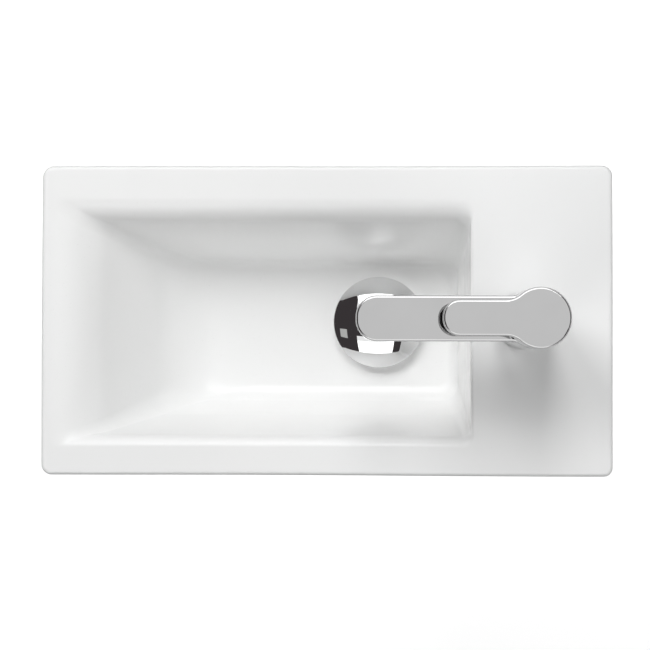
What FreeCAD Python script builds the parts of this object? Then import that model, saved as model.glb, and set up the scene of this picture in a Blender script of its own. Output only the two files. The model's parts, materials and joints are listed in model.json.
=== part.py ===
import FreeCAD, Part

import math
import os

Vector = FreeCAD.Vector

# A small wall-hung washbasin with a single-lever mixer and a click-type waste.
# +X runs to the user's right, +Y into the wall, +Z up.
# The origin lies midway between the two wall-fixing holes, on the back face.

# Fits shared by all the pieces
running_gap = 0.05
thread_gap = 0.05
laid_gap = 0.3
overrun = 2.0

# Ceramic basin
basin_width = 405.0
basin_depth = 220.0
basin_height = 120.0
basin_corner_radius = 7.0
rim_edge_radius = 3.0
foot_edge_radius = 2.0
skirt_wall = 10.0
deck_thickness = 12.0
fixing_drop = 45.0
fixing_spacing = 280.0
fixing_hole_radius = 6.0

# Bowl, from the opening's margins at the rim and the run of each sloping wall
left_margin = 17.5
right_margin = 100.1
rear_margin = 33.0
front_margin = 25.0
bowl_depth = 90.0
left_run = 79.0
right_run = 5.0
rear_run = 32.0
front_run = 28.0
bowl_wall = 10.0
left_blend_radius = 90.0
bowl_corner_radius = 14.0
bowl_edge_radius = 4.0

# Drain and tap hole
drain_from_right_edge = 63.1
drain_hole_gap = 2.05
drain_seat_gap = 1.0
drain_seat_depth = 3.4
tap_from_side = 63.7
tap_hole_clearance = 3.0

# Mixer body and spout
column_wall = 4.0
body_height = 85.0
base_lift = 0.4
spout_reach = 119.0
spout_width = 30.4
spout_tip_radius = 14.0
spout_flare_radius = 9.0
spout_tip_thickness = 18.0
spout_root_thickness = 25.0
spout_flat_length = 34.0
spout_edge_radius = 1.6
waterway_radius = 4.0
waterway_rise = 4.5
gallery_width = 2.5
gallery_height = 8.0
port_spacing = 14.0
port_setback = 4.0
port_radius = 2.2
port_margin = 0.14
inlet_radius = 4.5
inlet_depth = 19.0
gasket_edge_gap = 0.6
gasket_width = 2.9
gasket_thickness = 1.9

# Aerator under the spout's tip
aerator_radius = 11.0
aerator_flange_radius = 12.2
aerator_flange_thickness = 1.2
aerator_height = 6.0
aerator_wall = 1.5
aerator_insert_height = 4.0
aerator_hole_radius = 0.8
aerator_hole_pitch = 2.6
aerator_rings = 3
aerator_seal_thickness = 1.2
aerator_seal_width = 2.4
aerator_chamber_height = 6.3

# Cartridge, measured from the lever's pivot
pivot_drop = 8.0
cartridge_wall = 2.05
port_seal_thickness = 1.0
port_seal_width = 1.1
cartridge_base_height = 4.0
disc_height = 4.0
disc_margin = 0.27
ball_arm = 10.0
ball_radius = 3.0
ball_play = 0.25
slider_rise = 1.5
slider_fall = 4.0
tilt_range_deg = 25.0
carrier_slot_length = 15.2
lip_rise = 8.0
lip_thickness = 2.0
lip_width = 3.7
shoulder_width = 2.0
shoulder_rise = 1.0
shoulder_height = 2.5
window_radius = 2.4
window_count = 3
ring_seal_width = 1.2
ring_seal_height = 2.0

# Cartridge nut
nut_thread_width = 3.5
nut_hex_wall = 1.0
nut_hex_height = 2.0

# Shroud over the cartridge nut, part of a sphere about the pivot
shroud_margin = 0.2
dome_wall = 1.0
dome_mouth_radius = 13.0

# Spindle and its pin
spindle_width = 6.4
spindle_engagement = 9.3
spindle_foot_drop = 7.0
neck_radius = 2.2
pin_radius = 1.5
pin_inset = 0.8

# Lever
lever_skirt_rise = 7.0
lever_head_height = 23.0
tongue_reach = 63.0
tongue_width = 23.4
tongue_thickness = 8.0
tongue_tip_radius = 11.0
tongue_flare_radius = 15.0
lever_edge_radius = 1.5
dome_clearance = 1.8
grub_drop = 4.0
grub_radius = 2.5
grub_length = 7.0
grub_key_radius = 1.2
grub_key_depth = 3.0
plug_length = 5.0
plug_inset = 0.5

# Fixing of the mixer under the deck
stud_radius = 3.0
stud_offset = 11.5
stud_tail = 30.5
stud_engagement = 12.0
clamp_radius = 24.0
clamp_gasket_thickness = 2.0
clamp_washer_thickness = 2.5
clamp_slot_radius = 14.0
clamp_slot_setback = 9.0
clamp_hole_gap = 0.3
stud_nut_flats = 11.0
stud_nut_height = 8.0

# Waste
waste_flange_radius = 32.0
waste_flange_thickness = 2.4
waste_shank_radius = 20.6
waste_thread_radius = 20.95
waste_bore_radius = 17.5
waste_seat_width = 5.5
waste_seat_depth = 1.2
thread_start_depth = 2.0
tail_below_foot = 50.0
thread_relief_height = 2.0
thread_relief_depth = 0.7
top_seal_thickness = 1.2
top_seal_gap = 0.6
bottom_seal_thickness = 3.0
bottom_seal_radius = 30.0
washer_thickness = 1.0
backnut_flats = 54.0
backnut_height = 8.0

# Click mechanism inside the waste
spider_drop = 20.0
spider_height = 6.0
spider_boss_radius = 11.0
spider_arm_width = 4.0
spider_arms = 3
barrel_radius = 8.0
barrel_bore_radius = 6.0
barrel_flange_radius = 10.0
barrel_flange_height = 2.0
barrel_length = 33.0
barrel_floor_thickness = 2.0
guide_height = 4.0
stem_radius = 3.0
stem_collar_height = 3.0
stem_tail_radius = 2.5
stem_tail_length = 7.0
spring_wire_radius = 0.5
spring_turns = 8

# Waste cap
cap_radius = 34.0
cap_rise = 9.0
cap_edge_height = 2.2
cap_edge_radius = 0.9
cap_wall = 2.0
cap_lift = 8.0
cap_closed_gap = 0.3
cap_boss_radius = 5.5
cap_boss_drop = 1.0
cap_stem_depth = 4.0
cap_seal_inner_radius = 22.5
cap_seal_width = 4.0
cap_seal_height = 2.0
cap_seal_drop = 1.2
cap_ring_margin = 0.8

# Places worked out from the sizes above
rim_z = fixing_drop
foot_z = rim_z - basin_height
floor_z = rim_z - bowl_depth
basin_left = -basin_width / 2
basin_right = basin_width / 2
basin_front = -basin_depth
axis_y = -basin_depth / 2
tap_x = basin_right - tap_from_side
opening_left = basin_left + left_margin
opening_right = basin_right - right_margin
opening_rear = -rear_margin
opening_front = basin_front + front_margin
drain_x = opening_right - drain_from_right_edge
body_top_z = rim_z + body_height
pivot_z = body_top_z - pivot_drop
spout_low_z = body_top_z - spout_tip_thickness
aerator_x = tap_x - spout_reach + spout_width / 2
seat_z = floor_z - drain_seat_depth
flange_low_z = seat_z + top_seal_thickness
flange_top_z = flange_low_z + waste_flange_thickness
cap_low_z = flange_top_z + cap_closed_gap + cap_lift
spider_top_z = flange_top_z - spider_drop
guide_top_z = spider_top_z + barrel_flange_height
barrel_low_z = guide_top_z - barrel_length
collar_top_z = guide_top_z - guide_height - laid_gap
collar_low_z = collar_top_z - stem_collar_height
spring_low_z = barrel_low_z + barrel_floor_thickness
ball_z = pivot_z - ball_arm
slider_low_z = ball_z - slider_fall
slider_top_z = ball_z + slider_rise
disc_low_z = slider_low_z - 2 * disc_height
cartridge_floor_z = disc_low_z - cartridge_base_height - port_seal_thickness
disc_travel = ball_arm * math.radians(tilt_range_deg)
cartridge_bore = math.hypot(port_setback, port_spacing / 2) + port_radius + port_margin + running_gap
cartridge_radius = cartridge_bore + cartridge_wall
disc_radius = cartridge_bore - disc_travel / 2 - disc_margin
shoulder_z = pivot_z + shoulder_rise
lip_z = pivot_z + lip_rise
nut_radius = cartridge_radius + nut_thread_width
nut_hex_flats = 2 * (cartridge_radius + nut_hex_wall)
body_radius = nut_radius + column_wall
lever_radius = body_radius
dome_foot_radius = body_radius - spout_edge_radius - shroud_margin
dome_radius = math.hypot(dome_foot_radius, pivot_drop)
pocket_radius = dome_radius + dome_clearance
spindle_top_z = pivot_z + pocket_radius + spindle_engagement
lever_low_z = body_top_z + lever_skirt_rise
lever_top_z = lever_low_z + lever_head_height
grub_z = spindle_top_z - grub_drop
drain_hole_radius = waste_thread_radius + drain_hole_gap
tap_hole_radius = stud_offset + stud_radius + tap_hole_clearance
base_z = rim_z + base_lift
stud_top_z = base_z + stud_engagement
window_z = slider_top_z + laid_gap + window_radius


def cylinder(radius, low, high, x, y):
    """Upright cylinder between two heights."""
    return Part.makeCylinder(radius, high - low, Vector(x, y, low))


def tube(outer, inner, low, high, x, y):
    """Upright ring or tube between two heights."""
    return cylinder(outer, low, high, x, y).cut(cylinder(inner, low - overrun, high + overrun, x, y))


def block(x_low, x_high, y_low, y_high, z_low, z_high):
    """Box between two corners."""
    corner = Vector(x_low, y_low, z_low)
    return Part.makeBox(x_high - x_low, y_high - y_low, z_high - z_low, corner)


def hexagon(flats, low, high, x, y):
    """Upright hexagonal bar, flats wide across its flats."""
    corner = flats / math.sqrt(3)
    points = [Vector(x + corner * math.cos(math.radians(60 * i)),
                     y + corner * math.sin(math.radians(60 * i)), low) for i in range(7)]
    return Part.Face(Part.makePolygon(points)).extrude(Vector(0, 0, high - low))


def turned(edges, x, y):
    """Solid of revolution about the upright line at x, y, from edges drawn in the plane of x and z."""
    face = Part.Face(Part.Wire(edges))
    solid = face.revolve(Vector(0, 0, 0), Vector(0, 0, 1), 360)
    solid.translate(Vector(x, y, 0))
    return solid


def line(a, b):
    """Straight edge between two points of a turned profile, each a radius and a height."""
    return Part.makeLine(Vector(a[0], 0, a[1]), Vector(b[0], 0, b[1]))


def profile(points):
    """Closed chain of straight edges through the points of a turned profile."""
    return [line(points[i], points[(i + 1) % len(points)]) for i in range(len(points))]


def sphere_height(radius, at_radius):
    """Height of a sphere's upper surface over its centre, at a distance from its axis."""
    return math.sqrt(radius ** 2 - at_radius ** 2)


def sphere_arc(radius, centre_z, r_from, r_to):
    """Arc of a sphere's upper half in a turned profile, from one distance off the axis to another."""
    r_mid = (r_from + r_to) / 2
    ends = [Vector(r, 0, centre_z + sphere_height(radius, r)) for r in (r_from, r_mid, r_to)]
    return Part.Arc(ends[0], ends[1], ends[2]).toShape()


def edges_at_height(shape, z):
    """Edges that lie wholly at one height."""
    tolerance = overrun / 1000
    return [e for e in shape.Edges if all(abs(v.Point.z - z) < tolerance for v in e.Vertexes)
            and abs(e.valueAt((e.FirstParameter + e.LastParameter) / 2).z - z) < tolerance]


def upright_edges(shape):
    """Straight edges that run up and down."""
    return [e for e in shape.Edges if e.Curve.TypeId == "Part::GeomLine"
            and abs(e.tangentAt(e.FirstParameter).z) > 0.999]


def paddle(disc, half_width, reach, tip, flare, low, high):
    """Flat form of a disc at the tap's axis with a bar towards the bowl, joined by hollow flares."""
    spread = half_width + flare
    back = math.sqrt((disc + flare) ** 2 - spread ** 2)
    touch_share = disc / (disc + flare)
    turn = (math.atan2(-spread, back) - math.pi / 2) / 2

    def at(x, y):
        return Vector(tap_x + x, axis_y + y, low)

    def side(sign):
        """Flare and tip corner on one side, as three points each."""
        on_bar = at(-back, sign * half_width)
        flare_middle = at(-back + flare * math.cos(turn), sign * (spread + flare * math.sin(turn)))
        on_disc = at(-back * touch_share, sign * spread * touch_share)
        tip_side = at(-reach + tip, sign * half_width)
        tip_middle = at(-reach + tip - tip * math.cos(math.pi / 4),
                        sign * (half_width - tip + tip * math.sin(math.pi / 4)))
        tip_end = at(-reach, sign * (half_width - tip))
        return on_bar, flare_middle, on_disc, tip_side, tip_middle, tip_end

    left = side(1)
    right = side(-1)
    edges = [
        Part.LineSegment(left[3], left[0]).toShape(),
        Part.Arc(left[0], left[1], left[2]).toShape(),
        Part.Arc(left[2], at(disc, 0), right[2]).toShape(),
        Part.Arc(right[2], right[1], right[0]).toShape(),
        Part.LineSegment(right[0], right[3]).toShape(),
        Part.Arc(right[3], right[4], right[5]).toShape(),
        Part.LineSegment(right[5], left[5]).toShape(),
        Part.Arc(left[5], left[4], left[3]).toShape(),
    ]
    return Part.Face(Part.Wire(edges)).extrude(Vector(0, 0, high - low))


def bowl_wedge(grown):
    """Straight-walled hollow of the bowl, grown outward by a wall's thickness."""
    low = floor_z - grown
    high = rim_z + overrun

    def place(edge, run, outward, z):
        slope = run / bowl_depth
        return edge + outward * (grown * math.sqrt(1 + slope ** 2) - slope * (rim_z - z))

    outlines = []
    for z in (low, high):
        left = place(opening_left, left_run, -1, z)
        right = place(opening_right, right_run, 1, z)
        rear = place(opening_rear, rear_run, 1, z)
        front = place(opening_front, front_run, -1, z)
        corners = [Vector(x, y, z) for x, y in ((left, front), (right, front), (right, rear), (left, rear))]
        outlines.append(Part.makePolygon(corners + corners[:1]))
    return Part.makeLoft(outlines, True, True)


def bowl_form(grown):
    """The bowl's hollow with its floor blended up into the long left wall and the other edges rounded."""
    wedge = bowl_wedge(grown)
    low = floor_z - grown
    floor_edges = edges_at_height(wedge, low)
    left_edge = min(floor_edges, key=lambda e: e.CenterOfMass.x)
    blended = wedge.makeFillet(left_blend_radius + grown, [left_edge])
    high = rim_z + overrun
    rounded = []
    for edge in blended.Edges:
        heights = [v.Point.z for v in edge.Vertexes]
        on_floor = max(heights) < low + overrun
        along_blend = on_floor and edge.CenterOfMass.x < (opening_left + drain_x) / 2 \
            and abs(edge.tangentAt(edge.FirstParameter).y) > 0.9
        on_top = min(heights) > high - overrun
        blend_top = abs(heights[0] - heights[-1]) < overrun / 1000 and not on_floor
        if not (along_blend or on_top or blend_top):
            rounded.append(edge)
    return blended.makeFillet(bowl_corner_radius + grown, rounded)


def basin_body():
    """Glazed ceramic basin: one casting with a skirt, a deck, a bowl and a hollow underside."""
    outer = block(basin_left, basin_right, basin_front, 0, foot_z, rim_z)
    outer = outer.makeFillet(basin_corner_radius, upright_edges(outer))
    outer = outer.makeFillet(rim_edge_radius, edges_at_height(outer, rim_z))
    outer = outer.makeFillet(foot_edge_radius, edges_at_height(outer, foot_z))
    recess = block(basin_left + skirt_wall, basin_right - skirt_wall, basin_front + skirt_wall, -skirt_wall,
                   foot_z - overrun, rim_z - deck_thickness)
    recess = recess.makeFillet(basin_corner_radius, upright_edges(recess))
    body = outer.cut(bowl_form(0))
    opening_edges = [e for e in edges_at_height(body, rim_z)
                     if opening_left - overrun < e.CenterOfMass.x < opening_right + overrun
                     and opening_front - overrun < e.CenterOfMass.y < opening_rear + overrun]
    body = body.makeFillet(bowl_edge_radius, opening_edges)
    body = body.cut(recess.cut(bowl_form(bowl_wall)))
    deck_low = rim_z - deck_thickness
    body = body.cut(cylinder(tap_hole_radius, deck_low - overrun, rim_z + overrun, tap_x, axis_y))
    body = body.cut(cylinder(drain_hole_radius, foot_z, floor_z + overrun, drain_x, axis_y))
    seat = cylinder(waste_flange_radius + drain_seat_gap, seat_z, floor_z + overrun, drain_x, axis_y)
    body = body.cut(seat)
    for side in (-1, 1):
        start = Vector(side * fixing_spacing / 2, overrun, 0)
        length = skirt_wall + 2 * overrun
        body = body.cut(Part.makeCylinder(fixing_hole_radius, length, start, Vector(0, -1, 0)))
    return body


def spout_form():
    """Spout and column top as one flat keyhole form, thinner underneath towards the tip."""
    plan = paddle(body_radius, spout_width / 2, spout_reach, spout_tip_radius, spout_flare_radius,
                  rim_z, body_top_z)
    tip = tap_x - spout_reach - overrun
    flat_end = tap_x - spout_reach + spout_flat_length
    root = tap_x - body_radius
    root_low = body_top_z - spout_root_thickness
    far = tap_x + body_radius + overrun
    near_y = axis_y - body_radius - overrun
    outline = [(tip, body_top_z), (tip, spout_low_z), (flat_end, spout_low_z), (root, root_low),
               (far, root_low), (far, body_top_z)]
    points = [Vector(x, near_y, z) for x, z in outline]
    across = Vector(0, 2 * (body_radius + overrun), 0)
    side = Part.Face(Part.makePolygon(points + points[:1])).extrude(across)
    return plan.common(side)


def mixer_body():
    """Brass casting of the mixer: column and spout, bored for the cartridge and the waterways."""
    column = cylinder(body_radius, base_z, body_top_z, tap_x, axis_y)
    body = column.fuse(spout_form()).removeSplitter()
    body = body.makeFillet(spout_edge_radius, edges_at_height(body, body_top_z))
    lower_edges = [e for e in body.Edges if is_side_edge(e) or is_tip_edge(e)]
    body = body.makeFillet(spout_edge_radius, lower_edges)
    return bored_mixer(body)


def is_side_edge(edge):
    """Whether an edge runs along one side of the spout's underside, beyond the flares."""
    middle = edge.CenterOfMass
    low = spout_low_z - spout_root_thickness
    return (middle.x < tap_x - body_radius - spout_flare_radius
            and low < middle.z < spout_low_z + overrun
            and abs(edge.tangentAt(edge.FirstParameter).z) < 0.5
            and abs(middle.y - axis_y) > spout_width / 8)


def is_tip_edge(edge):
    """Whether an edge is the short straight one under the spout's very tip."""
    middle = edge.CenterOfMass
    tolerance = overrun / 1000
    tip_x = tap_x - spout_reach
    return abs(middle.x - tip_x) < tolerance and abs(middle.z - spout_low_z) < tolerance


def bored_mixer(body):
    """The mixer body with its bores, gallery, waterway, ports and gasket groove cut."""
    above = body_top_z + overrun
    below = base_z - overrun
    gasket_outer = body_radius - gasket_edge_gap
    gallery_radius = cartridge_radius + gallery_width
    half_gallery = gallery_height / 2
    chamber_top = spout_low_z + aerator_height + aerator_seal_thickness + aerator_chamber_height
    cuts = [
        cylinder(cartridge_radius + running_gap, cartridge_floor_z, above, tap_x, axis_y),
        cylinder(nut_radius, shoulder_z, above, tap_x, axis_y),
        cylinder(gallery_radius, window_z - half_gallery, window_z + half_gallery, tap_x, axis_y),
        cylinder(stud_radius + thread_gap, below, stud_top_z + laid_gap, tap_x + stud_offset, axis_y),
        tube(gasket_outer, gasket_outer - gasket_width, below, rim_z + gasket_thickness, tap_x, axis_y),
        cylinder(aerator_radius, spout_low_z - overrun, chamber_top, aerator_x, axis_y),
        waterway(),
    ]
    for side in (-1, 1):
        y = axis_y + side * port_spacing / 2
        cuts.append(cylinder(inlet_radius, below, base_z + inlet_depth, tap_x - port_setback, y))
        cuts.append(cylinder(port_radius, below, cartridge_floor_z + overrun, tap_x - port_setback, y))
    for cut in cuts:
        body = body.cut(cut)
    return body


def waterway():
    """Bore from the gallery round the cartridge to the chamber over the aerator, rising a little."""
    start = Vector(tap_x, axis_y, window_z)
    end = Vector(aerator_x, axis_y, window_z + waterway_rise)
    run = end - start
    return Part.makeCylinder(waterway_radius, run.Length, start, run)


def aerator_housing():
    """Threaded ring that holds the aerator under the spout."""
    top = spout_low_z + aerator_height
    low = spout_low_z - aerator_flange_thickness
    inner = aerator_radius - aerator_wall
    ring = tube(aerator_radius - thread_gap, inner, spout_low_z, top, aerator_x, axis_y)
    flange = tube(aerator_flange_radius, inner, low, spout_low_z, aerator_x, axis_y)
    return ring.fuse(flange).removeSplitter()


def aerator_insert():
    """Round nozzle plate with rings of small holes, which rests in the housing."""
    top = spout_low_z + aerator_height
    low = top - aerator_insert_height
    plate = cylinder(aerator_radius - aerator_wall - running_gap, low, top, aerator_x, axis_y)
    holes = [cylinder(aerator_hole_radius, low - overrun, top + overrun, aerator_x, axis_y)]
    for ring in range(1, aerator_rings + 1):
        count = 6 * ring
        for i in range(count):
            angle = 2 * math.pi * i / count
            x = aerator_x + ring * aerator_hole_pitch * math.cos(angle)
            y = axis_y + ring * aerator_hole_pitch * math.sin(angle)
            holes.append(cylinder(aerator_hole_radius, low - overrun, top + overrun, x, y))
    return plate.cut(holes)


def aerator_seal():
    """Rubber washer between the aerator and the spout."""
    low = spout_low_z + aerator_height
    return tube(aerator_radius - thread_gap, aerator_radius - aerator_seal_width, low,
                low + aerator_seal_thickness, aerator_x, axis_y)


def cartridge_body():
    """Plastic housing of the cartridge, with a clamping shoulder, an inward lip and outlet windows."""
    low = cartridge_floor_z + port_seal_thickness + cartridge_base_height
    top = lip_z + lip_thickness
    shoulder_outer = cartridge_radius + shoulder_width
    shoulder_top = shoulder_z + shoulder_height
    body = tube(cartridge_radius, cartridge_bore, low, top, tap_x, axis_y)
    lip = tube(cartridge_radius, cartridge_radius - lip_width, lip_z, top, tap_x, axis_y)
    shoulder = tube(shoulder_outer, cartridge_bore, shoulder_z, shoulder_top, tap_x, axis_y)
    body = body.fuse([lip, shoulder]).removeSplitter()
    groove_low = shoulder_z - ring_seal_height
    groove_inner = cartridge_radius - ring_seal_width
    groove = tube(cartridge_radius + overrun, groove_inner, groove_low, shoulder_z, tap_x, axis_y)
    body = body.cut(groove)
    for i in range(window_count):
        angle = 2 * math.pi * i / window_count + math.pi
        outward = Vector(math.cos(angle), math.sin(angle), 0)
        body = body.cut(Part.makeCylinder(window_radius, cartridge_radius + overrun,
                                          Vector(tap_x, axis_y, window_z), outward))
    return body


def cartridge_ring_seal():
    """Rubber ring in the groove under the cartridge's shoulder."""
    inner = cartridge_radius - ring_seal_width
    return tube(cartridge_radius, inner, shoulder_z - ring_seal_height, shoulder_z, tap_x, axis_y)


def port_holes(low, high):
    """Cutting forms of the hot and cold ports between two heights."""
    return [cylinder(port_radius, low - overrun, high + overrun, tap_x - port_setback,
                     axis_y + side * port_spacing / 2) for side in (-1, 1)]


def cartridge_base():
    """Plastic bottom of the cartridge, which presses the port seals on the body's floor."""
    low = cartridge_floor_z + port_seal_thickness
    high = low + cartridge_base_height
    return cylinder(cartridge_radius, low, high, tap_x, axis_y).cut(port_holes(low, high))


def port_seals():
    """Two rubber rings round the hot and cold ports."""
    rings = [tube(port_radius + port_seal_width, port_radius, cartridge_floor_z,
                  cartridge_floor_z + port_seal_thickness, tap_x - port_setback,
                  axis_y + side * port_spacing / 2) for side in (-1, 1)]
    return Part.makeCompound(rings)


def fixed_disc():
    """Ceramic disc with the hot and cold ports, held in the cartridge."""
    high = disc_low_z + disc_height
    disc = cylinder(cartridge_bore - running_gap, disc_low_z, high, tap_x, axis_y)
    return disc.cut(port_holes(disc_low_z, high))


def moving_disc():
    """Ceramic disc that slides and turns on the fixed one; its offset centre swaps sides as it opens."""
    low = disc_low_z + disc_height
    high = low + disc_height
    centre = tap_x + disc_travel / 2
    disc = cylinder(disc_radius, low, high, centre, axis_y)
    mixing_pocket = cylinder(port_radius, low - overrun, low + disc_height / 2, centre, axis_y)
    return disc.cut(mixing_pocket)


def disc_slider():
    """Plastic driver on the moving disc, with the socket for the spindle's ball."""
    low = slider_low_z - overrun
    high = slider_top_z + overrun
    driver = cylinder(disc_radius, slider_low_z, slider_top_z, tap_x + disc_travel / 2, axis_y)
    socket = cylinder(ball_radius + ball_play, low, high, tap_x, axis_y)
    return driver.cut(socket)


def spindle_carrier():
    """Turret that turns in the cartridge and carries the spindle on a pin, in a slot."""
    low = slider_top_z + laid_gap
    high = lip_z - laid_gap
    turret = cylinder(cartridge_bore - running_gap, low, high, tap_x, axis_y)
    half_slot = spindle_width / 2 + running_gap
    slot = block(tap_x - carrier_slot_length / 2, tap_x + carrier_slot_length / 2, axis_y - half_slot,
                 axis_y + half_slot, low - overrun, high + overrun)
    return turret.cut([slot, pin_form(pin_radius + running_gap, pin_length() + 2 * running_gap)])


def pin_length():
    """Length of the spindle's pin, a little short of the turret's width."""
    return 2 * (cartridge_bore - pin_inset)


def pin_form(radius, length):
    """Cylinder along Y through the lever's pivot."""
    return Part.makeCylinder(radius, length, Vector(tap_x, axis_y - length / 2, pivot_z), Vector(0, 1, 0))


def spindle_pin():
    """Steel pin that the spindle tilts on."""
    return pin_form(pin_radius, pin_length())


def spindle():
    """Square spindle with a ball at its foot that drives the moving disc."""
    half = spindle_width / 2
    bar = block(tap_x - half, tap_x + half, axis_y - half, axis_y + half, pivot_z - spindle_foot_drop,
                spindle_top_z)
    neck = cylinder(neck_radius, ball_z, pivot_z - spindle_foot_drop, tap_x, axis_y)
    ball = Part.makeSphere(ball_radius, Vector(tap_x, axis_y, ball_z))
    return bar.fuse([neck, ball]).cut(pin_form(pin_radius + running_gap, spindle_width + 2 * overrun))


def cartridge_nut():
    """Brass nut that clamps the cartridge's shoulder into the body."""
    low = shoulder_z + shoulder_height
    bore = cartridge_radius + running_gap
    high = body_top_z + nut_hex_height
    threaded = cylinder(nut_radius - thread_gap, low, body_top_z, tap_x, axis_y)
    head = hexagon(nut_hex_flats, body_top_z, high, tap_x, axis_y)
    nut = threaded.fuse(head).removeSplitter()
    return nut.cut(cylinder(bore, low - overrun, high + overrun, tap_x, axis_y))


def cartridge_shroud():
    """Chromed cap, part of a sphere about the lever's pivot, that covers the nut."""
    inner_radius = dome_radius - dome_wall
    inner_foot = sphere_height(inner_radius, pivot_drop)
    outer_top = pivot_z + sphere_height(dome_radius, dome_mouth_radius)
    inner_top = pivot_z + sphere_height(inner_radius, dome_mouth_radius)
    edges = [
        sphere_arc(dome_radius, pivot_z, dome_foot_radius, dome_mouth_radius),
        line((dome_mouth_radius, outer_top), (dome_mouth_radius, inner_top)),
        sphere_arc(inner_radius, pivot_z, dome_mouth_radius, inner_foot),
        line((inner_foot, body_top_z), (dome_foot_radius, body_top_z)),
    ]
    return turned(edges, tap_x, axis_y)


def lever_handle():
    """Lever: a round head over the shroud with a flat tongue over the spout."""
    tongue_low_z = lever_top_z - tongue_thickness
    blade = paddle(lever_radius, tongue_width / 2, tongue_reach, tongue_tip_radius, tongue_flare_radius,
                   tongue_low_z, lever_top_z)
    blade_edges = edges_at_height(blade, lever_top_z) + edges_at_height(blade, tongue_low_z)
    blade = blade.makeFillet(lever_edge_radius, blade_edges)
    head = cylinder(lever_radius, lever_low_z, lever_top_z - lever_edge_radius, tap_x, axis_y)
    handle = blade.fuse(head).removeSplitter()
    pocket = Part.makeSphere(pocket_radius, Vector(tap_x, axis_y, pivot_z))
    half = spindle_width / 2 + running_gap
    socket = block(tap_x - half, tap_x + half, axis_y - half, axis_y + half, pivot_z,
                   spindle_top_z + laid_gap)
    screw_hole = Part.makeCylinder(grub_radius, lever_radius + overrun, Vector(tap_x, axis_y, grub_z),
                                   Vector(1, 0, 0))
    return handle.cut([pocket, socket, screw_hole])


def lever_grub_screw():
    """Set screw that clamps the lever on the spindle."""
    start = Vector(tap_x + spindle_width / 2, axis_y, grub_z)
    screw = Part.makeCylinder(grub_radius - thread_gap, grub_length, start, Vector(1, 0, 0))
    key_start = start + Vector(grub_length - grub_key_depth, 0, 0)
    key = Part.makeCylinder(grub_key_radius, grub_key_depth + overrun, key_start, Vector(1, 0, 0))
    return screw.cut(key)


def lever_plug():
    """Small plug that hides the set screw at the back of the lever."""
    start = Vector(tap_x + lever_radius - plug_inset - plug_length, axis_y, grub_z)
    return Part.makeCylinder(grub_radius - thread_gap, plug_length, start, Vector(1, 0, 0))


def base_gasket():
    """Flat rubber ring in the groove under the mixer's base."""
    outer = body_radius - gasket_edge_gap
    return tube(outer - thread_gap, outer - gasket_width + thread_gap, rim_z, rim_z + gasket_thickness,
                tap_x, axis_y)


def clamp_plate(low, high):
    """Horseshoe plate under the deck, open towards the bowl for the supply hoses."""
    plate = cylinder(clamp_radius, low, high, tap_x, axis_y)
    slot_x = tap_x - clamp_slot_setback
    slot = cylinder(clamp_slot_radius, low - overrun, high + overrun, slot_x, axis_y)
    mouth = block(tap_x - clamp_radius - overrun, slot_x,
                  axis_y - clamp_slot_radius, axis_y + clamp_slot_radius,
                  low - overrun, high + overrun)
    stud_x = tap_x + stud_offset
    hole = cylinder(stud_radius + clamp_hole_gap, low - overrun, high + overrun, stud_x, axis_y)
    return plate.cut([slot, mouth, hole])


def horseshoe_gasket():
    """Rubber horseshoe against the underside of the deck."""
    high = rim_z - deck_thickness
    return clamp_plate(high - clamp_gasket_thickness, high)


def horseshoe_washer():
    """Steel horseshoe that spreads the nut's load."""
    high = rim_z - deck_thickness - clamp_gasket_thickness
    return clamp_plate(high - clamp_washer_thickness, high)


def fixing_stud():
    """Threaded stud from the mixer body down through the deck."""
    low = fixing_nut_top() - stud_nut_height - stud_tail
    return cylinder(stud_radius, low, stud_top_z, tap_x + stud_offset, axis_y)


def fixing_nut_top():
    """Height of the top of the nut, under the deck and the two horseshoes."""
    return rim_z - deck_thickness - clamp_gasket_thickness - clamp_washer_thickness


def fixing_nut():
    """Hexagon nut on the stud."""
    high = fixing_nut_top()
    low = high - stud_nut_height
    x = tap_x + stud_offset
    nut = hexagon(stud_nut_flats, low, high, x, axis_y)
    return nut.cut(cylinder(stud_radius + thread_gap, low - overrun, high + overrun, x, axis_y))


def ceramic_underside():
    """Height of the underside of the bowl's floor."""
    return floor_z - bowl_wall


def backnut_top():
    """Height of the top of the waste's back nut."""
    return ceramic_underside() - bottom_seal_thickness - washer_thickness


def waste_body():
    """Flanged waste with a threaded tail and a spider that carries the click mechanism."""
    thread_z = ceramic_underside() - thread_start_depth
    relief_top = backnut_top() - backnut_height
    relief_low = relief_top - thread_relief_height
    tail_z = foot_z - tail_below_foot
    outline = [
        (waste_bore_radius, flange_top_z - waste_seat_depth),
        (cap_seal_inner_radius + waste_seat_width, flange_top_z - waste_seat_depth),
        (cap_seal_inner_radius + waste_seat_width, flange_top_z),
        (waste_flange_radius, flange_top_z),
        (waste_flange_radius, flange_low_z),
        (waste_shank_radius, flange_low_z),
        (waste_shank_radius, thread_z),
        (waste_thread_radius, thread_z),
        (waste_thread_radius, relief_top),
        (waste_thread_radius - thread_relief_depth, relief_top),
        (waste_thread_radius - thread_relief_depth, relief_low),
        (waste_thread_radius, relief_low),
        (waste_thread_radius, tail_z),
        (waste_bore_radius, tail_z),
    ]
    body = turned(profile(outline), drain_x, axis_y)
    low = spider_top_z - spider_height
    arms = []
    for i in range(spider_arms):
        arm = block(drain_x, drain_x + waste_bore_radius + thread_relief_depth,
                    axis_y - spider_arm_width / 2, axis_y + spider_arm_width / 2, low, spider_top_z)
        arm.rotate(Vector(drain_x, axis_y, 0), Vector(0, 0, 1), 360 * i / spider_arms)
        arms.append(arm)
    boss = cylinder(spider_boss_radius, low, spider_top_z, drain_x, axis_y)
    body = body.fuse(arms + [boss]).removeSplitter()
    high = spider_top_z + overrun
    return body.cut(cylinder(barrel_radius + thread_gap, low - overrun, high, drain_x, axis_y))


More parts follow.
